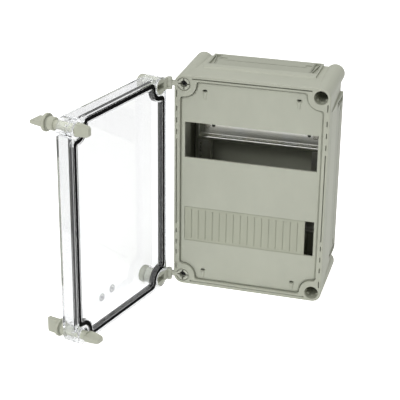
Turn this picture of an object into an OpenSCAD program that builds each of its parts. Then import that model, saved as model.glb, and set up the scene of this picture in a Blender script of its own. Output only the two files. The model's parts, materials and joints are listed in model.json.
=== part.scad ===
// Wall enclosure for DIN rail modules: moulded base box, inner cover plate with two
// module cut-outs, rails on perforated uprights, and a clear hinged lid held by two
// captive quarter-turn screws.
// Millimetres, +Z up. The front faces -Y. The origin is the centre of the wall-fixing
// pattern on the back plane, so the base box lies at negative Y.

/* [Enclosure] */
// Width of the base box and of the lid
box_w = 190; // [188:1:215]
// Height of the base box and of the lid
box_h = 280; // [276:1:310]
// Depth of the base box from the wall to its rim
base_d = 98; // [92:1:120]
// Depth of the lid
lid_d = 22; // [20:1:30]
// Thickness of the base walls and of the back
wall = 3; // [2.4:0.1:3.4]
// Thickness of the lid walls and of its face
lid_wall = 2.6; // [2:0.1:3]
// Radius of the four full-depth corner columns
column_r = 11.7; // [11.4:0.1:13]
// How far the walls lean in behind the columns at the back
wall_inset = 4; // [2.5:0.1:4.5]
// Rounding of the back edges
back_round = 3.5; // [2:0.5:4]
// Rounding of the lid's face edges
lid_round = 1.6; // [1.2:0.1:6]

/* [Rim] */
// Width of the rim land around the cover plate
rim_w = 7.2; // [6.5:0.1:8]
// Depth of the thick rim
rim_d = 10; // [8:0.5:12]
// Gap between rim and closed lid
lid_gap = 0.3; // [0.2:0.1:0.5]
// Radius of the notch round a column on the inner edge of the rim
rim_notch_r = 15.6; // [15:0.1:17]
// Rounding where a straight edge runs into a notch
notch_round = 4; // [1.5:0.5:4]
// Width of the moisture slots in the side rims
slot_w = 1.1; // [0.8:0.1:1.4]
// Depth of the slots in the rim
slot_d = 4; // [2:0.5:6]
// Distance from the outer face to a side slot
slot_inset = 2.5; // [2.2:0.1:2.8]
// Pitch of the short slots
slot_pitch = 15; // [13:0.5:16]
// Length of a short slot
short_slot = 6.6; // [5:0.1:8]
// Length of the long middle slot
long_slot = 114; // [90:1:116]
// Width of the drip groove in the top rim
groove_w = 1.4; // [1:0.1:1.8]

/* [Gasket] */
// Width of the foam gasket
gasket_w = 5.2; // [4:0.1:5.4]
// Distance from the outer face to the middle of the gasket
gasket_inset = 5.9; // [5.7:0.1:6.2]
// Depth of the gasket channel in the lid
gasket_d = 4.5; // [3.5:0.5:5.5]
// Thickness of the channel's inner rib and floor
channel_wall = 1.6; // [1.2:0.1:2]

/* [Cover plate] */
// Distance of the plate's face behind the rim
plate_set = 3; // [2:0.5:4]
// Thickness of the plate
plate_t = 2.5; // [2:0.1:3]
// Depth of the plate's skirt
skirt_d = 6; // [4:0.5:8]
// Gap between plate and rim
plate_gap = 0.6; // [0.4:0.1:0.8]
// Width of one module pitch
module_w = 18; // [17.5:0.5:18]
// Least distance from the side of the box to a cut-out
row_side = 12.5; // [12:0.1:16]
// Side play of a module row in its cut-out
row_play = 2.3; // [1:0.1:3]
// Height of a cut-out
cutout_h = 46.5; // [45:0.5:48]
// Distance between the two rows
row_pitch = 112.6; // [108:0.1:118]
// Distance of the latches from the sides of the box
latch_side = 37.7; // [33:0.1:50]
// Distance of an upper latch's screwdriver hole from the top of the box
latch_top = 18.5; // [17:0.1:21]
// Distance of a lower latch's screwdriver hole from the bottom of the box
latch_bottom = 21.6; // [21:0.1:26]
// Half modules left open beside the blanking strip
blank_open = 1; // [1:1:8]
// Thickness of the blanking strip
blank_t = 1.5; // [1.2:0.1:1.8]

/* [Rails] */
// Width of a DIN rail
rail_w = 35; // [33:0.5:36]
// Height of a DIN rail
rail_h = 7.5; // [6:0.5:9]
// Thickness of the rail's sheet
rail_t = 1; // [0.8:0.1:1.5]
// Width of the rail's channel inside
rail_channel = 25; // [24:0.5:26]
// How far a rail ends inside the outer edges of the uprights
rail_end = 2; // [1:0.5:6]
// Distance of the rails' lips behind the rim
rail_set = 53; // [48:1:56]
// Width of an upright
upright_w = 16; // [14:1:17]
// Distance from the side of the box to the middle of an upright
upright_side = 22; // [20:0.5:25]
// Distance of an upright's end from the top or the bottom of the box
upright_end = 24; // [22:1:30]
// Depth of an upright's folded edges
upright_fold = 9; // [6:1:14]
// Thickness of the upright's sheet
upright_t = 1.5; // [1:0.1:2]
// Pitch of the square holes in an upright
perf_pitch = 5; // [5:1:10]
// Size of a square hole
perf_size = 3.2; // [2:0.1:3.4]
// Distance of a rail screw from the inner edge of its upright
rail_screw_in = 4; // [3.8:0.1:5]
// Distance from a rail's screw to its spare hole
rail_hole_in = 8; // [7:0.5:14]
// Distance of an upright's screw from its end
upright_screw_in = 8; // [6:1:16]

/* [Flanges] */
// Distance from the side of the box to the pads on its top and bottom walls
pad_side = 26; // [25:1:35]
// Distance from the top or the bottom of the box to the pads on its side walls
pad_top = 33; // [32:1:45]
// Distance of a pad's front edge behind the rim
pad_front = 38; // [30:1:42]
// Distance of a pad's back edge in front of the wall
pad_back = 6; // [5:0.5:8]
// Width of a flange plate across the wall
flange_w = 38; // [34:1:40]
// Thickness of a flange plate
flange_t = 2.2; // [1.8:0.1:2.4]
// Thickness of a flange seal
seal_t = 1; // [0.8:0.1:1.2]
// Width of a flange seal
seal_w = 3; // [2:0.5:4]
// Length of a flange clip along the plate
clip_l = 9; // [8:0.5:10]
// Play around plates, seals and clips
fit = 0.15; // [0.1:0.05:0.2]

/* [Lid screws] */
// Length of a lid screw
screw_len = 76; // [74:1:80]
// Length of the flat foot
foot_l = 21; // [18:1:22]
// Width of the foot
foot_w = 14.5; // [13:0.5:15]
// Thickness of the foot
foot_t = 7; // [6:0.1:7.6]
// Radius of the shaft
shaft_r = 5.6; // [4.4:0.1:5.8]
// Radius of the collar
collar_r = 7.8; // [7:0.1:8]
// Radius of the disc
disc_r = 10.6; // [10:0.1:12]
// Length of the wing
wing_l = 16; // [12:0.5:18]
// Width of the wing
wing_w = 18.6; // [17:0.2:20.4]
// How far the upper screw's foot stands out of the lid
foot_out_upper = 16; // [15:0.5:17]
// How far the lower screw's foot stands out of the lid
foot_out_lower = 24.5; // [23:0.5:26]

/* [Hinges] */
// Distance of the hinge axis from the box side
hinge_out = 6; // [5.8:0.1:7]
// Radius of the knuckles
knuckle_r = 3.6; // [3.4:0.1:4]
// Radius of the hinge pins
pin_r = 1.5; // [1.2:0.1:1.7]
// Height of the middle knuckle
knuckle_h = 6.6; // [5.5:0.1:8]
// Height of the lid leaf
leaf_h = 14.4; // [13:0.1:16]
// Running clearance of the pin in the middle knuckle
pin_play = 0.06; // [0.04:0.01:0.1]
// How far the outer cap of a hinge stands out of the lid
cap_h = 8; // [5:0.5:9]
// Radius of that cap
cap_r = 11; // [10:0.1:11.6]
// Radius of the hinge plugs in the lid's corners
plug_r = 9.6; // [8.6:0.1:9.8]
// Opening of the lid
lid_open = 105.7; // [90:0.1:180]

/* [Columns] */
// Radius of the holes in the column fronts
socket_r = 8.5; // [8.4:0.1:8.8]
// Depth of the holes in the column fronts
socket_d = 9; // [8:0.5:10]
// Thickness of the ledge that the screw feet lock behind
ledge_t = 2.5; // [2:0.1:3]
// Radius of the wall-fixing holes
fix_r = 2.75; // [2:0.05:3]

/* [Hidden] */
$fn = 48;
eps = 0.02;

grey = "#b6b8aa";
dark_rubber = "#1d1d1d";
grey_rubber = "#7c7e73";
zinc = "#b9bcba";

// Column centres, which are also the wall-fixing and lid screw centres
col_x = box_w / 2 - column_r;
col_z = box_h / 2 - column_r;
hinge_x = -(box_w / 2 + hinge_out);

// Half width and half height of the cover plate's straight edges
plate_inset = rim_w + plate_gap;
plate_notch_r = rim_notch_r + plate_gap;
modules = floor((box_w - 2 * row_side - row_play) / module_w);
cutout_w = modules * module_w + row_play;
blank_count = 2 * modules - blank_open;
row_z = row_pitch / 2;
latch_x = box_w / 2 - latch_side;
latch_zs = [box_h / 2 - latch_top, latch_bottom - box_h / 2];
latch_drop = 5;
leg_t = 2;
leg_w = 8;
barb = 1.4;
leg_gap = 0.3;
catch_d = rim_d + 2;

// Rail section
lip_w = (rail_w - rail_channel) / 2;
web_set = rail_set + rail_h;
upright_front = web_set;
upright_x = box_w / 2 - upright_side;
upright_len = box_h - 2 * upright_end;
upright_screw_z = upright_len / 2 - upright_screw_in;
rail_len = 2 * (upright_x + upright_w / 2 - rail_end);
pillar_r = 6;

// Flange recess, measured along the wall's depth
pad_x = box_w - 2 * pad_side;
pad_z = box_h - 2 * pad_top;
pad_end = base_d - pad_back;
flange_end = pad_end - 3;
flange_start = flange_end - flange_w;
recess_d = flange_t + seal_t;

// Small sizes of the base
rim_step = 0.8;
side_pad_front = rim_d + 3;
groove_inset = 3.7;
groove_len = 2 * (col_x - rim_notch_r + 5);
end_slot = 9;
end_slot_in = 12.3;
hood_l = 10;
hood_r = 4.2;
hood_set = 2;
pad_slope = 2.5;
rim_dot = 2.6;
walls = ["top", "bottom", "left", "right"];

// Screws and their holes
rail_screw_x = upright_x - upright_w / 2 + rail_screw_in;
rail_hole_x = rail_screw_x - rail_hole_in;
screw_r = 1.9;
screw_hole_r = 2.3;
thread_r = 1.95;
head_r = 3.9;
head_h = 2.6;
pilot_end = 82;
perf_x = 4.8;

// Hinge sizes
arm_h = 6;
arm_front = 0.4;
arm_back = 4;
expander_r = 4.2;
expander_set = 7;
ring_bevel = 1.1;
leaf_plug = 12;
leaf_back = 5;
pocket_w = 14;
pocket_h = 7.5;
pocket_d = 8;

// Lid sizes
gasket_notch_r = column_r + 0.3 + gasket_w / 2;
gasket_round = 5;
lid_ledge = 8;

// Lid screw stations, measured from the tip of the foot
shaft_end = 46;
collar_end = 53.6;
disc_start = 56;
disc_end = screw_len - wing_l;
groove_r = 5.6;
wing_root = 3.4;
wing_tip = 1.9;
ring_r = (disc_start - collar_end) / 2 - 0.05;

// Column bores
key_play = 0.7;
key_w = foot_w + 2 * key_play;
key_t = foot_t + 2 * key_play;
chamber_end = 36;
access_r = 5;
access_end = base_d - 8;
barrel_r = 6;
barrel_end = 24;

// Points of an arc about c, from angle a to angle b
function arc(c, r, a, b, n) = [for (i = [0:n]) c + r * [cos(a + (b - a) * i / n), sin(a + (b - a) * i / n)]];

// One quarter of a rectangle whose corners are notched round the columns. Every edge
// that runs into a notch is rounded. The rectangle lies inset behind the outer faces.
function notched_quarter(inset, notch, f) =
    let (
        c = [col_x, col_z],
        ex = box_w / 2 - inset,
        ez = box_h / 2 - inset,
        reach = notch + f,
        f1 = [ex - f, col_z - sqrt(pow(reach, 2) - pow(col_x - ex + f, 2))],
        f2 = [col_x - sqrt(pow(reach, 2) - pow(col_z - ez + f, 2)), ez - f],
        a1 = atan2(c[1] - f1[1], c[0] - f1[0]),
        a2 = atan2(c[1] - f2[1], c[0] - f2[0])
    )
    concat(arc(f1, f, 0, a1, 4), arc(c, notch, a1 - 180, a2 - 180, 8), arc(f2, f, a2, 90, 4));

function reversed(p) = [for (i = [len(p) - 1:-1:0]) p[i]];

function flipped(p, sx, sz) = [for (q = p) [sx * q[0], sz * q[1]]];

function notched_points(inset, notch, f) =
    let (q = notched_quarter(inset, notch, f))
    concat(q, reversed(flipped(q, -1, 1)), flipped(q, -1, -1), reversed(flipped(q, 1, -1)));

// Extrudes a profile drawn in X and Z between two depths behind the rim
module behind_rim(front, back) {
    translate([0, back - base_d, 0])
        rotate([90, 0, 0])
            linear_extrude(back - front)
                children();
}

module at_columns(columns) {
    for (sx = columns)
        for (sz = [-1, 1])
            translate([sx * col_x, sz * col_z])
                children();
}

module notched_rect(inset, notch, f) {
    polygon(notched_points(inset, notch, f));
}

module rounded_rect(w, h, r) {
    square([w - 2 * r, h], center = true);
    square([w, h - 2 * r], center = true);
    for (sx = [-1, 1])
        for (sz = [-1, 1])
            translate([sx * (w / 2 - r), sz * (h / 2 - r)])
                circle(r);
}

// Upright lathe profile of a post with a rounded top edge
module post(r, h, e) {
    rotate_extrude()
        polygon(concat([[0, 0], [r, 0]], arc([r - e, h - e], e, 0, 90, 6), [[0, h]]));
}

// Corner points of a rounded rectangle, running anticlockwise
function rounded_points(w, h, r) = concat(
    arc([w / 2 - r, h / 2 - r], r, 0, 90, 6),
    arc([r - w / 2, h / 2 - r], r, 90, 180, 6),
    arc([r - w / 2, r - h / 2], r, 180, 270, 6),
    arc([w / 2 - r, r - h / 2], r, 270, 360, 6)
);

// Rounded block with all edges of its upper face rounded, standing on the XY plane
module tray_block(w, h, r, depth, e) {
    levels = concat([[0, 0]], [for (p = arc([-e, depth - e], e, 0, 90, 4)) [-p[0], p[1]]]);
    rings = [for (l = levels) [for (q = rounded_points(w - 2 * l[0], h - 2 * l[0], r - l[0])) [q[0], q[1], l[1]]]];
    n = len(rings[0]);
    m = len(rings);
    faces = [for (i = [0:m - 2]) for (j = [0:n - 1]) [
        i * n + j, (i + 1) * n + j, (i + 1) * n + (j + 1) % n, i * n + (j + 1) % n
    ]];
    bottom = [for (j = [0:n - 1]) j];
    top = [for (j = [n - 1:-1:0]) (m - 1) * n + j];
    polyhedron([for (ring = rings) for (q = ring) q], concat([bottom], faces, [top]));
}

// Section of a base wall: x runs inwards from the outer face, y runs back from the rim.
// A thick rim, a small step under it, then a wall that leans in towards the back.
module wall_section() {
    step = rim_step;
    foot = wall_inset + wall;
    polygon(concat(
        [[step, 0], [0, step], [0, rim_d], [step, rim_d + step]],
        reversed(arc([wall_inset + back_round, base_d - back_round], back_round, 90, 180, 6)),
        [[foot + 4, base_d], [foot + 4, base_d - wall], [foot, base_d - wall]],
        [[wall + step, rim_d + 5], [rim_w, rim_d], [rim_w, 0]]
    ));
}

// Builds the right and top sides and repeats them on the left and at the bottom.
// Children 0 is a section for the side walls, children 1 one for the top and bottom.
module on_four_sides(len_z, len_x) {
    for (a = [0, 180])
        rotate([0, a, 0]) {
            translate([box_w / 2, -base_d, -len_z / 2])
                mirror([1, 0, 0])
                    linear_extrude(len_z)
                        children(0);
            translate([-len_x / 2, -base_d, box_h / 2])
                rotate([90, 0, 90])
                    linear_extrude(len_x)
                        rotate(-90)
                            children(1);
        }
}

// How far a wall's outer face lies in at a depth behind the rim
function lean(d) =
    rim_step + (wall_inset - rim_step) * (d - rim_d - rim_step) / (base_d - back_round - rim_d - rim_step);

// Raised pad that carries a flange plate, backed by half the wall
module pad_section(front) {
    polygon([
        [lean(front), front], [0, front + pad_slope], [0, pad_end],
        [lean(pad_end) + wall / 2, pad_end], [lean(front) + wall / 2, front]
    ]);
}

// One flange recess with its opening, cut into the face z = 0 from above; x runs along
// the wall and y back from the rim
module flange_recess(len) {
    translate([-len / 2, flange_start - fit, -recess_d])
        cube([len, flange_w + 2 * fit, recess_d + 1]);
    window = len - 2 * clip_l - 2 * seal_w - 4;
    translate([-window / 2, flange_start + seal_w + 1, -2 * wall - 4])
        cube([window, flange_w - 2 * seal_w - 2, 2 * wall + 5]);
}

// Turns children drawn for the top wall onto a wall: "top", "bottom", "left" or "right"
module on_wall(side) {
    turn = side == "top" ? 0 : side == "right" ? 90 : side == "bottom" ? 180 : 270;
    out = (side == "top" || side == "bottom") ? box_h / 2 : box_w / 2;
    rotate([0, turn, 0])
        translate([0, -base_d, out])
            children();
}

function recess_len(side) = (side == "top" || side == "bottom") ? pad_x - 3 : pad_z - 3;

// Post on a wall's inner side that a cover latch hooks behind
module latch_tower(x, z) {
    s = sign(z);
    near = z - latch_drop + s * (leg_t / 2 + leg_gap);
    far = s * (box_h / 2 - wall - 1);
    translate([x, 0, (near + far) / 2])
        behind_box(leg_w + 4, abs(far - near), rim_d, catch_d);
}

// Box centred in X and Z between two depths behind the rim
module behind_box(w, h, front, back) {
    translate([-w / 2, front - base_d, -h / 2])
        cube([w, back - front, h]);
}

module side_slots() {
    first = long_slot / 2 + (slot_pitch - short_slot) / 2 + short_slot / 2 + 2;
    x = box_w / 2 - slot_inset - slot_w / 2;
    behind_slot(x, 0, slot_w, long_slot, slot_d);
    for (s = [-1, 1]) {
        for (i = [0:2])
            behind_slot(x, s * (first + i * slot_pitch), slot_w, short_slot, slot_d);
        behind_slot(x, s * (col_z - end_slot_in), slot_w, end_slot, slot_d);
    }
}

module behind_slot(x, z, w, h, deep) {
    translate([x, 0, z])
        behind_box(w, h, -1, deep);
}

// Bores of a latch-side column: socket, cross-shaped keyway, turning chamber
module latch_bores() {
    behind_circle(socket_r, -1, socket_d);
    behind_box(key_w, key_t, socket_d - 1, socket_d + ledge_t + 1);
    behind_box(key_t, key_w, socket_d - 1, socket_d + ledge_t + 1);
    behind_circle(key_w / 2 + 0.1, socket_d + ledge_t, chamber_end);
}

// Bores of a hinge-side column: socket for the hinge ring, bore for its barrel, and
// the notch that the hinge arm leaves through
module hinge_bores() {
    behind_circle(socket_r, -1, socket_d);
    behind_circle(barrel_r, socket_d - 1, barrel_end);
    translate([-column_r, 0, 0])
        behind_box(2 * column_r, arm_h + 0.5, -1, arm_back + 0.4);
}

// Cylinder along the depth between two depths behind the rim
module behind_circle(r, front, back) {
    translate([0, back - base_d, 0])
        rotate([90, 0, 0])
            cylinder(r = r, h = back - front);
}

module base_box() {
    color(grey)
        difference() {
            union() {
                on_four_sides(2 * col_z, 2 * col_x) {
                    wall_section();
                    wall_section();
                }
                on_four_sides(pad_z, pad_x) {
                    pad_section(side_pad_front);
                    pad_section(pad_front);
                }
                behind_rim(0, rim_d)
                    difference() {
                        square([box_w - rim_w, box_h - rim_w], center = true);
                        notched_rect(rim_w, rim_notch_r, notch_round);
                        at_columns([-1, 1])
                            circle(column_r - 1);
                    }
                behind_rim(base_d - wall, base_d)
                    square([2 * col_x, 2 * col_z], center = true);
                for (sx = [-1, 1])
                    for (sz = [-1, 1]) {
                        translate([sx * col_x, 0, sz * col_z])
                            column();
                        translate([sx * upright_x, 0, sz * upright_screw_z])
                            behind_circle(pillar_r, upright_front + upright_t, base_d - wall + 1);
                    }
                for (x = [-latch_x, latch_x])
                    for (z = latch_zs)
                        latch_tower(x, z);
            }
            for (sz = [-1, 1]) {
                translate([col_x, 0, sz * col_z])
                    latch_bores();
                translate([-col_x, 0, sz * col_z])
                    hinge_bores();
                for (sx = [-1, 1]) {
                    translate([sx * col_x, 0, sz * col_z]) {
                        behind_circle(access_r, socket_d + 1, access_end);
                        behind_circle(fix_r, access_end - 1, base_d + 1);
                    }
                    translate([sx * upright_x, 0, sz * upright_screw_z])
                        behind_circle(thread_r, upright_front, pilot_end + 2);
                }
            }
            for (side = walls)
                on_wall(side)
                    flange_recess(recess_len(side));
            for (a = [0, 180])
                rotate([0, a, 0])
                    side_slots();
            translate([0, 0, box_h / 2 - groove_inset - groove_w / 2])
                behind_box(groove_len, groove_w, -1, slot_d);
            translate([0, 0, -box_h / 2 + groove_inset + groove_w / 2]) {
                behind_box(groove_len, groove_w / 2, -1, slot_d / 2);
                for (s = [-1, 1])
                    translate([s * groove_len / 2, 0, 0])
                        behind_box(rim_dot, groove_w, -1, slot_d);
            }
        }
}

// Full-depth corner column with rounded ends
module column() {
    rotate([90, 0, 0])
        rotate_extrude()
            polygon(concat(
                [[0, 0], [column_r - back_round, 0]],
                arc([column_r - back_round, back_round], back_round, -90, 0, 6),
                [[column_r, base_d - 0.8], [column_r - 0.8, base_d], [0, base_d]]
            ));
}

// Cover plate: face with a rounded edge, skirt, cut-outs, latch holes, hoods and legs
module cover_plate() {
    face_end = plate_set + plate_t;
    skirt_end = plate_set + skirt_d;
    color(grey)
        difference() {
            union() {
                behind_rim(plate_set, plate_set + 0.5)
                    notched_rect(plate_inset + 1.5, plate_notch_r + 1.5, notch_round);
                behind_rim(plate_set + 0.4, plate_set + 1)
                    notched_rect(plate_inset + 0.6, plate_notch_r + 0.6, notch_round);
                behind_rim(plate_set + 0.9, skirt_end)
                    notched_rect(plate_inset, plate_notch_r, notch_round);
                for (x = [-latch_x, latch_x])
                    for (z = latch_zs)
                        translate([x, 0, z])
                            latch_hood();
            }
            behind_rim(face_end, skirt_end + 1)
                notched_rect(plate_inset + 2, plate_notch_r + 2, notch_round);
            for (s = [-1, 1])
                translate([0, 0, s * row_z])
                    behind_box(cutout_w, cutout_h, 0, skirt_end + 1);
            for (x = [-latch_x, latch_x])
                for (z = latch_zs)
                    translate([x, 0, z])
                        latch_hole();
        }
    color(grey)
        for (x = [-latch_x, latch_x])
            for (z = latch_zs)
                latch_leg(x, z);
}

// Half-round hood that fades out downwards below a latch hole
module latch_hood() {
    translate([0, plate_set - base_d + hood_set, -hood_l])
        cylinder(r1 = hood_set - 0.5, r2 = hood_r, h = hood_l);
}

// Screwdriver hole of a latch
module latch_hole() {
    behind_rim(0, plate_set + plate_t + 1) {
        square([2.4, 2.6], center = true);
        for (s = [-1, 1])
            translate([s * 1.2, 0])
                circle(1.3);
    }
}

// Springy leg with a barb that hooks behind a latch tower
module latch_leg(x, z) {
    s = sign(z);
    back = catch_d + 0.4;
    translate([x, 0, z - latch_drop]) {
        behind_box(leg_w, leg_t, plate_set + plate_t - 0.5, back + 3);
        translate([-leg_w / 2, back - base_d, s * leg_t / 2])
            rotate([90, 0, 90])
                linear_extrude(leg_w)
                    polygon([[0, -s * 0.5], [0, s * barb], [3, 0], [3, -s * 0.5]]);
    }
}

// Blanking strip with a break line at every half module and hooked lips top and bottom
module blanking_strip() {
    w = blank_count * module_w / 2;
    h = cutout_h - 0.5;
    front = plate_set + 0.5;
    behind = plate_set + plate_t + 0.1;
    color(grey)
        translate([(w - cutout_w) / 2 + 0.15, 0, -row_z - 0.1])
            difference() {
                union() {
                    behind_box(w, h, front, front + blank_t);
                    for (s = [-1, 1]) {
                        translate([0, 0, s * (h / 2 - 0.6)])
                            behind_box(w, 1.2, front + blank_t - 0.5, behind + 1.4);
                        translate([0, 0, s * (h / 2 + 0.4)])
                            behind_box(w, 1.6, behind, behind + 1.4);
                    }
                }
                for (i = [1:blank_count - 1])
                    translate([-w / 2 + i * module_w / 2, 0, -0.8])
                        behind_box(0.6, h - 8, front - 1, front + 0.6);
            }
}

// Top-hat rail of bent sheet with its screw holes and spare holes
module din_rail(s) {
    half = rail_w / 2;
    inner = rail_channel / 2;
    outer = inner + rail_t;
    color(zinc)
        difference() {
            translate([-rail_len / 2, rail_set - base_d, s * row_z])
                rotate([90, 0, 90])
                    linear_extrude(rail_len)
                        polygon([
                            [0, half], [0, inner], [rail_h - rail_t, inner], [rail_h - rail_t, -inner],
                            [0, -inner], [0, -half], [rail_t, -half], [rail_t, -outer], [rail_h, -outer],
                            [rail_h, outer], [rail_t, outer], [rail_t, half]
                        ]);
            for (x = [-rail_screw_x, rail_screw_x])
                translate([x, 0, s * row_z])
                    behind_circle(screw_hole_r, rail_set, web_set + 1);
            for (x = [-rail_hole_x, rail_hole_x])
                translate([x, 0, s * row_z])
                    behind_circle(screw_hole_r, rail_set, web_set + 1);
        }
}

module din_rail_upper() {
    din_rail(1);
}

module din_rail_lower() {
    din_rail(-1);
}

// Perforated upright: folded channel with a row of square holes near its outer edge
module rail_upright(s) {
    holes = floor((upright_len - 30) / perf_pitch / 2);
    color(zinc)
        translate([s * upright_x, 0, 0])
            difference() {
                union() {
                    behind_box(upright_w, upright_len, upright_front, upright_front + upright_t);
                    for (m = [-1, 1])
                        translate([m * (upright_w - upright_t) / 2, 0, 0])
                            behind_box(upright_t, upright_len, upright_front, upright_front + upright_fold);
                }
                for (i = [-holes:holes])
                    translate([s * perf_x, 0, i * perf_pitch])
                        behind_box(perf_size, perf_size, upright_front - 1, upright_front + upright_t + 1);
                for (z = [-row_z, row_z])
                    translate([s * (rail_screw_x - upright_x), 0, z])
                        behind_circle(thread_r, upright_front - 1, upright_front + upright_t + 1);
                for (z = [-upright_screw_z, upright_screw_z])
                    translate([0, 0, z])
                        behind_circle(screw_hole_r, upright_front - 1, upright_front + upright_t + 1);
            }
}

module rail_upright_left() {
    rail_upright(-1);
}

module rail_upright_right() {
    rail_upright(1);
}

// Pan-head screw pointing back, with its head's underside at a depth behind the rim
module pan_screw(under, len) {
    color(zinc)
        translate([0, under - base_d, 0])
            rotate([90, 0, 0])
                difference() {
                    union() {
                        post(head_r, head_h, 1);
                        translate([0, 0, -len])
                            cylinder(r = screw_r, h = len + 1);
                    }
                    for (a = [0, 90])
                        rotate([0, 0, a])
                            translate([-2, -0.4, head_h - 1])
                                cube([4, 0.8, 2]);
                }
}

module rail_screws() {
    for (x = [-rail_screw_x, rail_screw_x])
        for (z = [-row_z, row_z])
            translate([x, 0, z])
                pan_screw(web_set - rail_t, 7);
}

module upright_screws() {
    for (x = [-upright_x, upright_x])
        for (z = [-upright_screw_z, upright_screw_z])
            translate([x, 0, z])
                pan_screw(upright_front, pilot_end - upright_front);
}

// Flange plate with a long groove and a finger recess at each end
module flange_plate(side) {
    len = recess_len(side) - 2 * clip_l - 2 * fit;
    color(grey)
        on_wall(side)
            translate([0, flange_start + flange_w / 2, seal_t - recess_d])
                difference() {
                    translate([-len / 2, -flange_w / 2, 0])
                        cube([len, flange_w, flange_t]);
                    translate([-len / 2 + 7, -0.7, flange_t - 0.8])
                        cube([len - 14, 1.4, 1]);
                    for (s = [-1, 1])
                        translate([s * (len / 2 - 5), 6, flange_t - 1])
                            linear_extrude(2)
                                rounded_rect(8, 6, 1.5);
                }
}

module flange_plate_top() {
    flange_plate("top");
}

module flange_plate_bottom() {
    flange_plate("bottom");
}

module flange_plate_left() {
    flange_plate("left");
}

module flange_plate_right() {
    flange_plate("right");
}

// Flat seal under the edge of a flange plate
module flange_seal(side) {
    len = recess_len(side) - 2 * clip_l - 2 * fit;
    color(dark_rubber)
        on_wall(side)
            translate([0, flange_start + flange_w / 2, -recess_d])
                linear_extrude(seal_t)
                    difference() {
                        square([len, flange_w], center = true);
                        square([len - 2 * seal_w, flange_w - 2 * seal_w], center = true);
                    }
}

module flange_seal_top() {
    flange_seal("top");
}

module flange_seal_bottom() {
    flange_seal("bottom");
}

module flange_seal_left() {
    flange_seal("left");
}

module flange_seal_right() {
    flange_seal("right");
}

// Clips that hold a flange plate at both ends, each with a slanting wedge line
module flange_clips(side) {
    len = recess_len(side);
    l = clip_l - 2 * fit;
    color(grey)
        on_wall(side)
            for (s = [-1, 1])
                translate([s * (len / 2 - clip_l / 2), flange_start + flange_w / 2, -recess_d])
                    difference() {
                        translate([-l / 2, -flange_w / 2, 0])
                            cube([l, flange_w, recess_d]);
                        translate([0, 0, recess_d - 0.8])
                            linear_extrude(1)
                                rotate(s * 8)
                                    square([0.9, flange_w - 8], center = true);
                    }
}

module flange_clips_top() {
    flange_clips("top");
}

module flange_clips_bottom() {
    flange_clips("bottom");
}

module flange_clips_left() {
    flange_clips("left");
}

module flange_clips_right() {
    flange_clips("right");
}

// Base half of a hinge: slotted ring and barrel in the column, arm, middle knuckle
module hinge_base(sz) {
    color(grey)
        translate([-col_x, 0, sz * col_z])
            difference() {
                union() {
                    behind_circle(socket_r - fit, arm_front + ring_bevel, socket_d - fit);
                    behind_circle(socket_r - fit - ring_bevel, arm_front, socket_d - fit);
                    behind_circle(barrel_r - fit, socket_d - 1, barrel_end - 2);
                    translate([(hinge_x + col_x) / 2, 0, 0])
                        behind_box(abs(hinge_x + col_x), arm_h, arm_front, arm_back);
                    translate([hinge_x + col_x, -base_d, 0])
                        cylinder(r = knuckle_r, h = knuckle_h, center = true);
                }
                behind_circle(expander_r + fit, -knuckle_r - 1, barrel_end);
                for (a = [0, 90])
                    rotate([0, a, 0])
                        behind_box(2 * socket_r - 3, 1.6, -1, socket_d - 3);
                translate([hinge_x + col_x, -base_d, 0])
                    cylinder(r = pin_r + pin_play, h = knuckle_h + 1, center = true);
            }
}

module hinge_base_upper() {
    hinge_base(1);
}

module hinge_base_lower() {
    hinge_base(-1);
}

// Expander screws that spread the hinge rings in their columns
module hinge_fixing_screws() {
    color(grey)
        for (sz = [-1, 1])
            translate([-col_x, 0, sz * col_z])
                difference() {
                    behind_circle(expander_r, expander_set, barrel_end - 3);
                    for (a = [45, 135])
                        rotate([0, a, 0])
                            behind_box(6, 1.2, expander_set - 1, expander_set + 2);
                }
}

// Places children that are drawn for the closed lid: x across, y up and z outwards
// from the lid's rim
module on_lid() {
    translate([hinge_x, -base_d, 0])
        rotate([0, 0, -lid_open])
            translate([-hinge_x, -lid_gap, 0])
                rotate([90, 0, 0])
                    children();
}

module on_hinge_boss(sz) {
    on_lid()
        translate([-col_x, sz * col_z, 0])
            children();
}

// Upright cylinder about the hinge axis, in the frame of a hinge boss
module about_axis(r, h) {
    translate([hinge_x + col_x, 0, -lid_gap])
        rotate([90, 0, 0])
            cylinder(r = r, h = h, center = true);
}

// Lid half of a hinge: plug in the boss, web out through the lid's side, forked knuckles
module hinge_leaf(sz) {
    web_x = hinge_x + col_x + knuckle_r + 0.7;
    color(grey)
        on_hinge_boss(sz)
            difference() {
                union() {
                    translate([0, 0, 0.2])
                        cylinder(r = plug_r, h = leaf_plug - 0.2);
                    translate([hinge_x + col_x, -leaf_h / 2, 0.4])
                        cube([abs(hinge_x + col_x), leaf_h, knuckle_r - lid_gap - 0.4]);
                    translate([web_x, -leaf_h / 2, 0.4])
                        cube([abs(web_x), leaf_h, leaf_back - 0.4]);
                    about_axis(knuckle_r, leaf_h);
                }
                translate([-pocket_w / 2, -pocket_h / 2, -1])
                    cube([pocket_w, pocket_h, pocket_d + 1]);
                translate([hinge_x + col_x - knuckle_r - 1, -(knuckle_h + 0.4) / 2, -knuckle_r - 1])
                    cube([2 * knuckle_r + 1.7, knuckle_h + 0.4, 2 * knuckle_r + 2]);
                about_axis(pin_r + 0.02, leaf_h + 1);
            }
}

module hinge_leaf_upper() {
    hinge_leaf(1);
}

module hinge_leaf_lower() {
    hinge_leaf(-1);
}

module hinge_pin(sz) {
    color(zinc)
        on_hinge_boss(sz)
            about_axis(pin_r, leaf_h - 0.4);
}

module hinge_pin_upper() {
    hinge_pin(1);
}

module hinge_pin_lower() {
    hinge_pin(-1);
}

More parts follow.
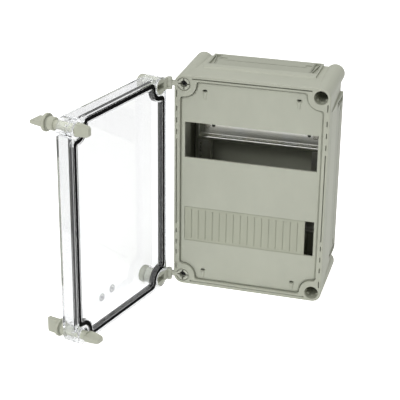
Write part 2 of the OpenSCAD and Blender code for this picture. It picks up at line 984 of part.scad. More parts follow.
// Outer cap that closes a hinge boss on the lid's face
module hinge_cap(sz) {
    color(grey)
        on_hinge_boss(sz)
            difference() {
                union() {
                    translate([0, 0, lid_d + 0.1])
                        post(cap_r, cap_h, 2);
                    translate([0, 0, leaf_plug + 0.3])
                        cylinder(r = plug_r, h = lid_d - leaf_plug);
                }
                translate([0, 0, leaf_plug])
                    cylinder(r = plug_r - 2, h = lid_d - leaf_plug + 1);
            }
}

module hinge_cap_upper() {
    hinge_cap(1);
}

module hinge_cap_lower() {
    hinge_cap(-1);
}

// Gasket channel outline: grow widens it on both sides
module gasket_band(grow) {
    near = gasket_w / 2 + grow;
    difference() {
        notched_rect(gasket_inset - near, gasket_notch_r - near, gasket_round);
        notched_rect(gasket_inset + near, gasket_notch_r + near, 1);
    }
}

// Clear lid: tray with a gasket channel along the rim and a boss in each corner
module lid_shell() {
    channel_end = gasket_d + channel_wall;
    rib = gasket_w / 2 + channel_wall;
    color([0.86, 0.89, 0.9, 0.35])
        on_lid()
            difference() {
                union() {
                    difference() {
                        tray_block(box_w, box_h, column_r, lid_d, lid_round);
                        translate([0, 0, -1])
                            tray_block(
                                box_w - 2 * lid_wall, box_h - 2 * lid_wall, column_r - lid_wall,
                                lid_d - lid_wall + 1, max(lid_round - lid_wall, 1)
                            );
                    }
                    linear_extrude(channel_end)
                        difference() {
                            rounded_rect(box_w - 1, box_h - 1, column_r - 0.5);
                            notched_rect(gasket_inset + rib, gasket_notch_r + rib, 1);
                        }
                    at_columns([-1, 1])
                        cylinder(r = column_r - 0.5, h = lid_d - lid_wall + 0.2);
                }
                translate([0, 0, -1])
                    linear_extrude(gasket_d + 1)
                        gasket_band(0);
                at_columns([-1])
                    translate([0, 0, -1])
                        cylinder(r = plug_r + fit, h = lid_d + 2);
                at_columns([1]) {
                    translate([0, 0, -1])
                        cylinder(r = socket_r, h = lid_ledge + 1);
                    translate([0, 0, lid_ledge + 3])
                        cylinder(r = collar_r + 0.4, h = lid_d);
                    cylinder(r = shaft_r + 0.6, h = lid_d);
                    translate([-foot_w / 2 - 0.3, -foot_t / 2 - 0.3, 0])
                        cube([foot_w + 0.6, foot_t + 0.6, lid_d]);
                }
                at_columns([-1])
                    translate([-column_r - 1, -leaf_h / 2 - 0.2, -1])
                        cube([column_r + 1, leaf_h + 0.4, leaf_back + 1.2]);
            }
}

module lid_gasket() {
    color(dark_rubber)
        on_lid()
            linear_extrude(gasket_d)
                gasket_band(-0.05);
}

// Captive quarter-turn screw standing on the tip of its foot: flat tapered foot, shaft,
// collar, groove for the sealing ring, disc and wing
module lid_screw() {
    half = foot_w / 2;
    tip = half - 1.3;
    thin = foot_t / 2;
    color(grey) {
        intersection() {
            translate([0, thin, 0])
                rotate([90, 0, 0])
                    linear_extrude(foot_t)
                        polygon([
                            [2 - tip, 0], [tip - 2, 0], [tip, 2.2], [half, foot_l - 3],
                            [shaft_r, foot_l], [-shaft_r, foot_l], [-half, foot_l - 3], [-tip, 2.2]
                        ]);
            translate([-half, 0, 0])
                rotate([90, 0, 90])
                    linear_extrude(foot_w)
                        polygon([
                            [1.2 - thin, 0], [thin - 1.2, 0], [thin, foot_l / 2],
                            [thin, foot_l], [-thin, foot_l], [-thin, foot_l / 2]
                        ]);
            cylinder(r = socket_r - 0.3, h = foot_l);
        }
        translate([0, 0, foot_l - 2])
            cylinder(r = shaft_r, h = shaft_end - foot_l + 3);
        rotate_extrude()
            polygon([
                [0, shaft_end], [collar_r - 1, shaft_end], [collar_r, shaft_end + 1], [collar_r, collar_end],
                [groove_r, collar_end], [groove_r, disc_start], [disc_r - 0.6, disc_start],
                [disc_r, disc_start + 0.8], [disc_r, disc_end - 1], [disc_r - 1, disc_end], [0, disc_end]
            ]);
        rotate([0, 0, 90])
            intersection() {
                translate([-wing_w / 2, 0, 0])
                    rotate([90, 0, 90])
                        linear_extrude(wing_w)
                            polygon([
                                [-wing_root, disc_end - 1], [wing_root, disc_end - 1], [wing_tip, screw_len - 1],
                                [wing_tip - 0.7, screw_len], [0.7 - wing_tip, screw_len], [-wing_tip, screw_len - 1]
                            ]);
                translate([0, disc_r, 0])
                    rotate([90, 0, 0])
                        linear_extrude(2 * disc_r)
                            wing_outline();
            }
    }
}

// Outline of the wing seen from its broad side
module wing_outline() {
    half = wing_w / 2;
    round = 2;
    polygon(concat(
        [[-half + 0.6, disc_end - 1], [half - 0.6, disc_end - 1]],
        arc([half - round, screw_len - round], round, 0, 90, 5),
        arc([-half + round, screw_len - round], round, 90, 180, 5)
    ));
}

// Places a lid screw's parts with the foot standing a distance out of the lid's rim
module in_latch_boss(sz, foot_out, turn) {
    on_lid()
        translate([col_x, sz * col_z, -foot_out])
            rotate([0, 0, turn])
                children();
}

module sealing_ring() {
    color(grey_rubber)
        translate([0, 0, (collar_end + disc_start) / 2])
            rotate_extrude()
                translate([groove_r + ring_r + 0.05, 0])
                    circle(ring_r);
}

module lid_screw_upper() {
    in_latch_boss(1, foot_out_upper, 90)
        lid_screw();
}

module lid_screw_lower() {
    in_latch_boss(-1, foot_out_lower, 0)
        lid_screw();
}

module lid_screw_seal_upper() {
    in_latch_boss(1, foot_out_upper, 90)
        sealing_ring();
}

module lid_screw_seal_lower() {
    in_latch_boss(-1, foot_out_lower, 0)
        sealing_ring();
}

base_box();
cover_plate();
blanking_strip();
din_rail_upper();
din_rail_lower();
rail_upright_left();
rail_upright_right();
rail_screws();
upright_screws();
flange_plate_top();
flange_plate_bottom();
flange_plate_left();
flange_plate_right();
flange_seal_top();
flange_seal_bottom();
flange_seal_left();
flange_seal_right();
flange_clips_top();
flange_clips_bottom();
flange_clips_left();
flange_clips_right();
hinge_base_upper();
hinge_base_lower();
hinge_fixing_screws();
hinge_pin_upper();
hinge_pin_lower();
hinge_leaf_upper();
hinge_leaf_lower();
hinge_cap_upper();
hinge_cap_lower();
lid_shell();
lid_gasket();
lid_screw_upper();
lid_screw_lower();
lid_screw_seal_upper();
lid_screw_seal_lower();
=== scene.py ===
import json
import math

import bmesh
import bpy
from mathutils import Matrix, Vector


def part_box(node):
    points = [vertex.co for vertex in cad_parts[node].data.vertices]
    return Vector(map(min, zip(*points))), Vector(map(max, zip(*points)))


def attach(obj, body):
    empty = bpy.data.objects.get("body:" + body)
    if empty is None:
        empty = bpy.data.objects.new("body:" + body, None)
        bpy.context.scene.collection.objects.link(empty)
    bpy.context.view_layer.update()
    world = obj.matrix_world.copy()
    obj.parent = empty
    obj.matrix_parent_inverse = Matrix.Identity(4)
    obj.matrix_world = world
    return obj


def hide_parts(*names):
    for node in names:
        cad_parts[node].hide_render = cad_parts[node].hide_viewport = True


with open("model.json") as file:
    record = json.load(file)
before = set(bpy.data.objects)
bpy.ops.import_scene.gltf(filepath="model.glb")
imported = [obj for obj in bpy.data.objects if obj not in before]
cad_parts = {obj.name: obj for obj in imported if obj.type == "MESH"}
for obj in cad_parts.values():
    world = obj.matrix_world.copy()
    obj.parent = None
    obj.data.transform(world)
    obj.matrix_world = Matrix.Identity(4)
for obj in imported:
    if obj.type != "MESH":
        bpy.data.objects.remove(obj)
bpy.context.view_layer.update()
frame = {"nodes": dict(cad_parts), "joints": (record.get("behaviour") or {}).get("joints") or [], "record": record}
NODES = frame["nodes"]


# ---------------------------------------------------------------- node helpers

def new_material(name):
    """An empty node material, its tree and its output."""
    material = bpy.data.materials.new(name)
    material.use_nodes = True
    tree = material.node_tree
    tree.nodes.clear()
    output = tree.nodes.new("ShaderNodeOutputMaterial")
    return material, tree, output


def put(tree, kind, setup=None, **sockets):
    """A node with its options set, then its inputs set to values or linked to outputs.

    An underscore in a keyword is a space in the input's name. i0, i1 and i2 are inputs by place."""
    node = tree.nodes.new(kind)
    for option, value in (setup or {}).items():
        setattr(node, option, value)
    for name, value in sockets.items():
        by_place = name in ("i0", "i1", "i2")
        socket = node.inputs[int(name[1:])] if by_place else node.inputs[name.replace("_", " ")]
        if isinstance(value, bpy.types.NodeSocket):
            tree.links.new(value, socket)
        else:
            socket.default_value = value
    return node


def calc(tree, operation, a, b):
    return put(tree, "ShaderNodeMath", {"operation": operation}, i0=a, i1=b).outputs[0]


def times(tree, a, b):
    return calc(tree, "MULTIPLY", a, b)


def plus(tree, a, b):
    return calc(tree, "ADD", a, b)


def minus(tree, a, b):
    return calc(tree, "SUBTRACT", a, b)


def half_gap(tree, outer, inner):
    """Half the difference of two sizes."""
    return times(tree, minus(tree, outer, inner), 0.5)


# -------------------------------------------------------------- shader helpers

def stretched(tree, scale=(1, 1, 1)):
    """Object coordinates, stretched by a Mapping node."""
    place = put(tree, "ShaderNodeTexCoord")
    return put(tree, "ShaderNodeMapping", Vector=place.outputs["Object"], Scale=scale).outputs[0]


def noise(tree, where, scale, detail, rough=0.5):
    node = put(tree, "ShaderNodeTexNoise", Vector=where, Scale=scale, Detail=detail, Roughness=rough)
    return node.outputs["Fac"]


def ramp(tree, fac, low, high):
    """A colour ramp between two (position, colour) stops."""
    node = put(tree, "ShaderNodeValToRGB", Fac=fac)
    for stop, (position, colour) in zip(node.color_ramp.elements, (low, high)):
        stop.position = position
        stop.color = (*colour, 1)
    return node.outputs["Color"]


def spread(tree, fac, low, high):
    """Maps 0..1 to low..high."""
    return put(tree, "ShaderNodeMapRange", Value=fac, To_Min=low, To_Max=high).outputs["Result"]


def raised(tree, base, fac, amount):
    """The base with fac times the amount added."""
    node = put(tree, "ShaderNodeMath", {"operation": "MULTIPLY_ADD"}, i0=fac, i1=amount, i2=base)
    return node.outputs[0]


def bump(tree, height, strength, distance, under=None):
    sockets = {"Height": height, "Strength": strength, "Distance": distance}
    if under is not None:
        sockets["Normal"] = under
    return put(tree, "ShaderNodeBump", **sockets).outputs["Normal"]


def surface(tree, output, **sockets):
    """A Principled shader, linked to the material's output."""
    shader = put(tree, "ShaderNodeBsdfPrincipled", **sockets)
    tree.links.new(shader.outputs[0], output.inputs[0])


# ------------------------------------------------------------------- finishes

def moulded(name, colour, roughness=0.48, grain=0.25):
    """Injection-moulded plastic: spark-eroded grain, faint flow marks, slight shade changes, soft edges."""
    edge_radius = 0.0007
    material, tree, output = new_material(name)
    where = stretched(tree)
    fine = noise(tree, where, scale=2600, detail=2.0, rough=0.6)
    cloud = noise(tree, where, scale=14, detail=3.0, rough=0.55)
    flow = noise(tree, stretched(tree, (1, 1, 0.6)), scale=48, detail=4.0, rough=0.6)
    dark = tuple(c * 0.965 for c in colour)
    light = tuple(min(1.0, c * 1.03) for c in colour)
    tint = ramp(tree, times(tree, cloud, flow), (0.12, dark), (0.42, light))
    gloss = spread(tree, flow, roughness - 0.06, roughness + 0.08)
    edge = put(tree, "ShaderNodeBevel", {"samples": 4}, Radius=edge_radius).outputs[0]
    skin = bump(tree, fine, strength=grain, distance=0.00006, under=edge)
    skin = bump(tree, flow, strength=0.05, distance=0.0004, under=skin)
    surface(tree, output, Base_Color=tint, Roughness=gloss, Normal=skin, Specular_IOR_Level=0.4)
    return material


def foam(name):
    """Closed-cell foam with a cast skin and fine open pores."""
    material, tree, output = new_material(name)
    where = stretched(tree)
    cells = put(tree, "ShaderNodeTexVoronoi", Vector=where, Scale=1500).outputs["Distance"]
    cloud = noise(tree, where, scale=220, detail=4.0, rough=0.6)
    tint = ramp(tree, cloud, (0.3, (0.002, 0.002, 0.0023)), (0.75, (0.007, 0.007, 0.0075)))
    skin = bump(tree, cells, strength=0.55, distance=0.00025)
    skin = bump(tree, cloud, strength=0.3, distance=0.0005, under=skin)
    surface(tree, output, Base_Color=tint, Roughness=0.82, Normal=skin, Specular_IOR_Level=0.06)
    return material


def rubber(name):
    """Smooth black rubber with a little bloom on it."""
    material, tree, output = new_material(name)
    where = stretched(tree)
    cloud = noise(tree, where, scale=90, detail=4.0, rough=0.6)
    tint = ramp(tree, cloud, (0.3, (0.012, 0.012, 0.012)), (0.8, (0.035, 0.035, 0.034)))
    skin = bump(tree, noise(tree, where, scale=1800, detail=2.0), strength=0.2, distance=0.00008)
    surface(tree, output, Base_Color=tint, Roughness=0.6, Normal=skin)
    return material


def zinc_plate(name, colour, rough, along):
    """Zinc-plated steel: rolling lines, stretched by along, and a faint passivated cloud."""
    material, tree, output = new_material(name)
    lines = noise(tree, stretched(tree, along), scale=1.0, detail=5.0, rough=0.7)
    cloud = noise(tree, stretched(tree), scale=45, detail=4.0, rough=0.6)
    warm = tuple(c * f for c, f in zip(colour, (0.97, 0.95, 0.88)))
    tint = ramp(tree, cloud, (0.35, warm), (0.7, colour))
    gloss = spread(tree, lines, rough - 0.08, rough + 0.14)
    skin = bump(tree, lines, strength=0.05, distance=0.0001)
    surface(tree, output, Base_Color=tint, Metallic=1.0, Roughness=gloss, Normal=skin)
    return material


def clear_plastic(name, colour=(0.875, 0.88, 0.884)):
    """Polished clear polycarbonate. Lamps reach what is behind it."""
    most_bounces = 2.5
    material, tree, output = new_material(name)
    ripple = noise(tree, stretched(tree), scale=22, detail=2.0, rough=0.4)
    skin = bump(tree, ripple, strength=0.05, distance=0.0008)
    clear = put(tree, "ShaderNodeBsdfPrincipled", Base_Color=(*colour, 1), Roughness=0.02, IOR=1.5,
                Transmission_Weight=0.96, Normal=skin).outputs[0]
    through = put(tree, "ShaderNodeBsdfTransparent", Color=(0.93, 0.94, 0.95, 1)).outputs[0]
    ray = put(tree, "ShaderNodeLightPath").outputs
    # light that has run along inside the sheet leaves it instead of dying in it
    trapped = calc(tree, "GREATER_THAN", ray["Glossy Depth"], most_bounces)
    leaves = calc(tree, "MAXIMUM", ray["Is Shadow Ray"], trapped)
    both = put(tree, "ShaderNodeMixShader", i0=leaves, i1=clear, i2=through)
    tree.links.new(both.outputs[0], output.inputs[0])
    return material


RAIL_LINES = (3, 160, 160)
FINISH = {
    "base": moulded("box_moulding", (0.447, 0.461, 0.378)),
    "plate": moulded("cover_moulding", (0.456, 0.471, 0.390), 0.5),
    "strip": moulded("strip_moulding", (0.405, 0.419, 0.331), 0.5),
    "flange": moulded("flange_moulding", (0.378, 0.391, 0.316), 0.46),
    "hinge": moulded("hinge_nylon", (0.47, 0.482, 0.405), 0.42, 0.15),
    "lid_screw": moulded("screw_nylon", (0.475, 0.485, 0.395), 0.44, 0.15),
    "lid": clear_plastic("clear_cover"),
    "gasket": foam("gasket_foam"),
    "seal": rubber("seal_rubber"),
    "ring": moulded("ring_elastomer", (0.33, 0.34, 0.28), 0.6),
    "rail": zinc_plate("rail_zinc", (0.76, 0.77, 0.75), 0.13, RAIL_LINES),
    "upright": zinc_plate("upright_zinc", (0.60, 0.61, 0.59), 0.36, (400, 400, 6)),
    # darker zinc than the rail's: painted shade on the screw heads
    "screw": zinc_plate("screw_zinc_painted_shade", (0.40, 0.40, 0.36), 0.22, (300, 300, 300)),
    "pin": zinc_plate("pin_steel", (0.6, 0.6, 0.6), 0.25, (300, 300, 8)),
}
# near-black nylon for the expanders: painted shade deep in the hinge sockets
EXPANDER_NYLON_PAINTED_SHADE = moulded("expander_nylon_painted_shade", (0.035, 0.035, 0.035), 0.4, 0.15)
# dark-tinted clear plastic for the mould marks: painted shade
MARK_PLASTIC_PAINTED_SHADE = clear_plastic("mark_plastic_painted_shade", (0.35, 0.35, 0.36))
# a darker, duller copy of the rail zinc for the lower rail: painted shade behind the strip
PAINTED_SHADE_ZINC = zinc_plate("rail_zinc_painted_shade", (0.42, 0.43, 0.41), 0.34, RAIL_LINES)

for part in frame["record"]["subparts"]:
    node = NODES[part["node"]]
    node.data.materials.clear()
    node.data.materials.append(FINISH[part["material_slot"]])
# the expanders take the near-black nylon: painted shade in the hinge sockets
NODES["hinge_fixing_screws"].data.materials[0] = EXPANDER_NYLON_PAINTED_SHADE


# ------------------------------------------------------- geometry-node helpers

def new_tree(name, sizes):
    """A geometry tree with a geometry input and output and one named input for each size."""
    tree = bpy.data.node_groups.new(name, "GeometryNodeTree")
    tree.interface.new_socket("Geometry", in_out="INPUT", socket_type="NodeSocketGeometry")
    for label, value in sizes.items():
        kind = "NodeSocketInt" if isinstance(value, int) else "NodeSocketFloat"
        tree.interface.new_socket(label, in_out="INPUT", socket_type=kind)
    tree.interface.new_socket("Material", in_out="INPUT", socket_type="NodeSocketMaterial")
    tree.interface.new_socket("Geometry", in_out="OUTPUT", socket_type="NodeSocketGeometry")
    entry = tree.nodes.new("NodeGroupInput")
    return tree, entry.outputs


def close_tree(tree, entry, geometry):
    """Ends a tree: instances made real, then the material."""
    real = put(tree, "GeometryNodeRealizeInstances", Geometry=geometry)
    painted = put(tree, "GeometryNodeSetMaterial", Geometry=real.outputs[0], Material=entry["Material"])
    leave = tree.nodes.new("NodeGroupOutput")
    tree.links.new(painted.outputs[0], leave.inputs[0])


def vector(tree, x=0.0, y=0.0, z=0.0):
    return put(tree, "ShaderNodeCombineXYZ", X=x, Y=y, Z=z).outputs[0]


def block(tree, x, y, z):
    return put(tree, "GeometryNodeMeshCube", Size=vector(tree, x, y, z)).outputs[0]


def moved(tree, geometry, **sockets):
    """Geometry with a Translation, a Rotation or a Scale."""
    return put(tree, "GeometryNodeTransform", Geometry=geometry, **sockets).outputs[0]


def joined(tree, parts):
    node = tree.nodes.new("GeometryNodeJoinGeometry")
    for part in reversed(parts):
        tree.links.new(part, node.inputs[0])
    return node.outputs[0]


def placed_on(tree, points, instance):
    return put(tree, "GeometryNodeInstanceOnPoints", Points=points, Instance=instance).outputs[0]


def cut_out(tree, solid, cutters):
    node = put(tree, "GeometryNodeMeshBoolean", {"operation": "DIFFERENCE", "solver": "EXACT"})
    tree.links.new(solid, node.inputs["Mesh 1"])
    for cutter in cutters:
        tree.links.new(cutter, node.inputs["Mesh 2"])
    return node.outputs["Mesh"]


def rectangle(tree, width, height):
    return put(tree, "GeometryNodeCurvePrimitiveQuadrilateral", Width=width, Height=height).outputs[0]


def circle(tree, radius, steps):
    return put(tree, "GeometryNodeCurvePrimitiveCircle", Resolution=steps, Radius=radius).outputs[0]


def filleted(tree, curve, radius, steps):
    node = put(tree, "GeometryNodeFilletCurve", {"mode": "POLY"}, Curve=curve, Radius=radius, Count=steps)
    return node.outputs[0]


def as_curve(tree, mesh):
    return put(tree, "GeometryNodeMeshToCurve", Mesh=mesh).outputs[0]


def swept(tree, path, profile, caps=False):
    """A profile run along a path."""
    node = put(tree, "GeometryNodeCurveToMesh", Curve=path, Profile_Curve=profile, Fill_Caps=caps)
    return node.outputs[0]


def flat_normals(tree, path):
    """A path that lies in XY, with the profiles swept along it kept square to Z."""
    return put(tree, "GeometryNodeSetCurveNormal", {"mode": "Z_UP"}, Curve=path).outputs[0]


def grow(name, tree, sizes, material, place=None, start=None):
    """Runs a tree on a start mesh and leaves a plain mesh object at the origin."""
    seed = bpy.data.objects.new(name + "_start", start or bpy.data.meshes.new(name + "_start"))
    bpy.context.scene.collection.objects.link(seed)
    modifier = seed.modifiers.new("grow", "NODES")
    modifier.node_group = tree
    for item in tree.interface.items_tree:
        if item.in_out == "INPUT" and item.name in sizes:
            modifier[item.identifier] = sizes[item.name]
        if item.in_out == "INPUT" and item.name == "Material":
            modifier[item.identifier] = material
    graph = bpy.context.evaluated_depsgraph_get()
    graph.update()
    mesh = bpy.data.meshes.new_from_object(seed.evaluated_get(graph))
    seed.modifiers.clear()
    bpy.data.objects.remove(seed)
    mesh.name = name
    if place is not None:
        mesh.transform(place)
    made = bpy.data.objects.new(name, mesh)
    bpy.context.scene.collection.objects.link(made)
    return made


def shade_smooth_by_angle(mesh, degrees):
    """Smooth faces with creases kept where faces meet at more than the angle."""
    mesh.polygons.foreach_set("use_smooth", [True] * len(mesh.polygons))
    mesh.set_sharp_from_angle(angle=math.radians(degrees))


def tidy_normals(mesh):
    """Joins doubled points and turns all faces outwards."""
    work = bmesh.new()
    work.from_mesh(mesh)
    bmesh.ops.remove_doubles(work, verts=work.verts, dist=1e-6)
    bmesh.ops.recalc_face_normals(work, faces=work.faces)
    work.to_mesh(mesh)
    work.free()


def fit_piece(piece, body, slot, *nodes):
    """Puts a piece on its body; the slot is not used. Nodes are those that it replaces."""
    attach(piece, body)
    if nodes:
        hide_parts(*nodes)


# --------------------------------------------------------- sizes of the real box

HALF_W, HALF_H = 0.095, 0.140
RIM_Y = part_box("base_box")[0].y
COLUMN = Vector((0.0833, 0, 0.1283))
LID_GAP = 0.0003
PANE_INSIDE = 0.0194
PLATE_SET_BACK = 0.003
PLATE_FACE = RIM_Y + PLATE_SET_BACK
LATCH_X = 0.0573
LATCH_ZS = (0.1215, -0.1184)

hinge = next(j for j in frame["joints"] if j["name"] == "lid_hinge")
hinge_at = Vector(hinge["pos_m"])
OPEN_LID = (
    Matrix.Translation(hinge_at)
    @ Matrix.Rotation(math.radians(-hinge["range_deg"][1]), 4, Vector(hinge["axis"]))
    @ Matrix.Translation(-hinge_at)
)
# Lid pieces are drawn flat: x across, y up, z outwards from the closed lid's rim
ON_LID = OPEN_LID @ Matrix.Translation((0, RIM_Y - LID_GAP, 0)) @ Matrix.Rotation(math.radians(90), 4, "X")


# ----------------------------------------------------------------- foam gasket

def arc(centre, radius, start, end, steps):
    angles = [math.radians(start + (end - start) * i / steps) for i in range(steps + 1)]
    return [(centre[0] + radius * math.cos(a), centre[1] + radius * math.sin(a)) for a in angles]


def notched_loop(inset, notch, fillet):
    """Rounded rectangle whose corners step in round the columns."""
    steps = 8
    column_x, column_z = COLUMN.x, COLUMN.z
    edge_x, edge_z = HALF_W - inset, HALF_H - inset
    reach = notch + fillet
    first = (edge_x - fillet, column_z - math.sqrt(reach**2 - (column_x - edge_x + fillet) ** 2))
    last = (column_x - math.sqrt(reach**2 - (column_z - edge_z + fillet) ** 2), edge_z - fillet)
    turn_in = math.degrees(math.atan2(column_z - first[1], column_x - first[0]))
    turn_out = math.degrees(math.atan2(column_z - last[1], column_x - last[0]))
    quarter = (
        arc(first, fillet, 0, turn_in, steps)
        + arc((column_x, column_z), notch, turn_in - 180, turn_out - 180, 2 * steps)
        + arc(last, fillet, turn_out, 90, steps)
    )
    mirrored = [(-x, z) for x, z in reversed(quarter)]
    return quarter + mirrored + [(-x, -z) for x, z in quarter] + [(x, -z) for x, z in reversed(quarter)]


def loop_mesh(name, points):
    mesh = bpy.data.meshes.new(name)
    edges = [(i, (i + 1) % len(points)) for i in range(len(points))]
    mesh.from_pydata([(x, z, 0) for x, z in points], edges, [])
    return mesh


def gasket_bead():
    """Foamed-in-place bead: a rounded section that fills its channel and follows it."""
    sizes = {"Width": 0.0055, "Depth": 0.0052, "Crown": 0.0011}
    tree, entry = new_tree("gasket_bead", sizes)
    section = filleted(tree, rectangle(tree, entry["Width"], entry["Depth"]), entry["Crown"], steps=5)
    bead = swept(tree, flat_normals(tree, as_curve(tree, entry["Geometry"])), section)
    lift = vector(tree, z=times(tree, entry["Depth"], 0.5))
    close_tree(tree, entry, moved(tree, bead, Translation=lift))

    path = loop_mesh("gasket_path", notched_loop(inset=0.0059, notch=0.0146, fillet=0.005))
    piece = grow("gasket_foam_bead", tree, sizes, FINISH["gasket"], ON_LID, path)
    shade_smooth_by_angle(piece.data, degrees=50)
    fit_piece(piece, "lid", "gasket", "lid_gasket")


# ------------------------------------------------------ mould marks on the pane

def mould_marks():
    """Shallow ring marks that the mould leaves inside the pane, round a small ejector dot."""
    sizes = {"Ring": 0.0042, "Dot": 0.0013, "Bead": 0.00065, "Spacing": 0.0215, "Step": -0.0024}
    left_x, left_z, stand_off = -0.0022, -0.1114, 0.0001
    tree, entry = new_tree("mould_marks", sizes)
    wire = circle(tree, entry["Bead"], steps=8)
    rings = [swept(tree, circle(tree, entry[label], steps=32), wire) for label in ("Ring", "Dot")]
    offset = vector(tree, x=entry["Spacing"], y=entry["Step"])
    places = put(tree, "GeometryNodeMeshLine", Count=2, Offset=offset).outputs[0]
    close_tree(tree, entry, placed_on(tree, places, joined(tree, rings)))

    place = ON_LID @ Matrix.Translation((left_x, left_z, PANE_INSIDE - stand_off))
    # the marks are drawn in dark-tinted plastic: painted shade
    piece = grow("pane_mould_marks", tree, sizes, MARK_PLASTIC_PAINTED_SHADE, place)
    shade_smooth_by_angle(piece.data, degrees=60)
    fit_piece(piece, "lid", "lid")


# -------------------------------------------------------- hoods of the latches

def latch_hoods():
    """A steep tapered rib over the hood below each latch hole of the cover plate."""
    sizes = {"Top": 0.0026, "Foot": 0.0017, "Length": 0.0088, "Drop": 0.0016}
    sunk = 0.0006
    tree, entry = new_tree("latch_hoods", sizes)
    rib = put(tree, "GeometryNodeMeshCone", Vertices=24, Radius_Top=entry["Top"],
              Radius_Bottom=entry["Foot"], Depth=entry["Length"]).outputs[0]
    down = times(tree, plus(tree, entry["Length"], entry["Drop"]), -1.0)
    rib = moved(tree, rib, Translation=vector(tree, z=down))
    close_tree(tree, entry, placed_on(tree, entry["Geometry"], rib))

    holes = bpy.data.meshes.new("latch_holes")
    holes.from_pydata([(x, PLATE_FACE + sunk, z) for x in (-LATCH_X, LATCH_X) for z in LATCH_ZS], [], [])
    piece = grow("latch_hoods", tree, sizes, FINISH["plate"], None, holes)
    shade_smooth_by_angle(piece.data, degrees=40)
    fit_piece(piece, "base", "plate")


# -------------------------------------------------------------- blanking strip

def blanking_strip():
    """Break-off strip: rounded half-module fingers between two plain margins on one back sheet."""
    low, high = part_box("blanking_strip")
    sizes = {
        "Fingers": 17, "Pitch": 0.009, "Finger Height": 0.0395, "Thickness": 0.0013, "Groove Round": 0.0005,
        "Groove": 0.00025, "Height": 0.04605, "Sheet": 0.0006, "Lip": 0.0012, "Lip Depth": 0.0032,
    }
    shift_x, shift_z, finger_y = -0.00015, -0.000125, 0.00075
    tree, entry = new_tree("break_off_strip", sizes)
    section = rectangle(tree, minus(tree, entry["Pitch"], entry["Groove"]), entry["Thickness"])
    section = filleted(tree, section, entry["Groove Round"], steps=3)
    bottom = vector(tree, z=times(tree, entry["Finger Height"], -0.5))
    top = vector(tree, z=times(tree, entry["Finger Height"], 0.5))
    line = put(tree, "GeometryNodeCurvePrimitiveLine", Start=bottom, End=top).outputs[0]
    across = times(tree, entry["Pitch"], minus(tree, entry["Fingers"], 1.0))
    row = put(tree, "GeometryNodeMeshLine", Count=entry["Fingers"],
              Start_Location=vector(tree, x=times(tree, across, -0.5)),
              Offset=vector(tree, x=entry["Pitch"])).outputs[0]
    fingers = placed_on(tree, row, swept(tree, line, section, caps=True))

    width = times(tree, entry["Pitch"], entry["Fingers"])
    sheet_at = vector(tree, y=times(tree, entry["Thickness"], 0.5))
    sheet = moved(tree, block(tree, width, entry["Sheet"], entry["Height"]), Translation=sheet_at)
    parts = [fingers, sheet]
    margin = half_gap(tree, entry["Height"], entry["Finger Height"])
    margin_z = times(tree, plus(tree, entry["Height"], entry["Finger Height"]), 0.25)
    lip_y = times(tree, entry["Lip Depth"], 0.5)
    lip_z = half_gap(tree, entry["Height"], entry["Lip"])
    for side in (1.0, -1.0):
        at = vector(tree, z=times(tree, margin_z, side))
        parts.append(moved(tree, block(tree, width, entry["Thickness"], margin), Translation=at))
        at = vector(tree, y=lip_y, z=times(tree, lip_z, side))
        parts.append(moved(tree, block(tree, width, entry["Lip Depth"], entry["Lip"]), Translation=at))
    close_tree(tree, entry, joined(tree, parts))

    centre = (low + high) / 2
    place = Matrix.Translation((centre.x + shift_x, low.y + finger_y, centre.z + shift_z))
    piece = grow("break_off_strip", tree, sizes, FINISH["strip"], place)
    fit_piece(piece, "base", "strip", "blanking_strip")


# ------------------------------------------------------------------- DIN rails

def top_hat_rail(name, node, zinc):
    """Top-hat rail bent from sheet: rounded bends and bored screw holes."""
    low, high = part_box(node)
    sizes = {
        "Length": high.x - low.x, "Sheet": 0.001, "Width": high.z - low.z, "Channel": 0.026,
        "Height": high.y - low.y, "Bend": 0.0012, "Screw Pitch": 0.138, "Spare Pitch": 0.122, "Bore": 0.0023,
    }
    drill_length = 0.01
    tree, entry = new_tree(name, sizes)
    rise = minus(tree, entry["Height"], entry["Sheet"])
    # the start line holds -1, 0 or 1 for lip edge, bend and web in each direction
    where = put(tree, "GeometryNodeInputPosition").outputs[0]
    unit = put(tree, "ShaderNodeSeparateXYZ", Vector=where).outputs
    channel = times(tree, unit["Y"], times(tree, entry["Channel"], 0.5))
    lip = times(tree, unit["Z"], half_gap(tree, entry["Width"], entry["Channel"]))
    real = vector(tree, times(tree, unit["X"], rise), plus(tree, channel, lip))
    line = put(tree, "GeometryNodeSetPosition", Geometry=entry["Geometry"], Position=real).outputs[0]
    path = flat_normals(tree, filleted(tree, as_curve(tree, line), entry["Bend"], steps=6))
    sheet = swept(tree, path, rectangle(tree, entry["Sheet"], entry["Length"]), caps=True)
    bores = []
    for label in ("Screw Pitch", "Spare Pitch"):
        for side in (0.5, -0.5):
            drill = put(tree, "GeometryNodeMeshCylinder", Radius=entry["Bore"], Depth=drill_length,
                        Vertices=32).outputs[0]
            at = vector(tree, x=rise, z=times(tree, entry[label], side))
            turn = vector(tree, y=math.radians(90))
            bores.append(moved(tree, drill, Translation=at, Rotation=turn))
    close_tree(tree, entry, cut_out(tree, sheet, bores))

    start = bpy.data.meshes.new(name + "_line")
    corners = [(0, 1, 1), (0, 1, 0), (1, 1, 0), (1, -1, 0), (0, -1, 0), (0, -1, -1)]
    start.from_pydata(corners, [(i, i + 1) for i in range(len(corners) - 1)], [])
    # drawn with x as depth, y up and z along the rail
    centre = (low + high) / 2
    front = low.y + sizes["Sheet"] / 2
    place = Matrix(((0, 0, 1, centre.x), (1, 0, 0, front), (0, 1, 0, centre.z), (0, 0, 0, 1)))
    piece = grow(name, tree, sizes, zinc, place, start)
    tidy_normals(piece.data)
    shade_smooth_by_angle(piece.data, degrees=40)
    fit_piece(piece, "base", "rail", node)


# ---------------------------------------------------------------- flange clips

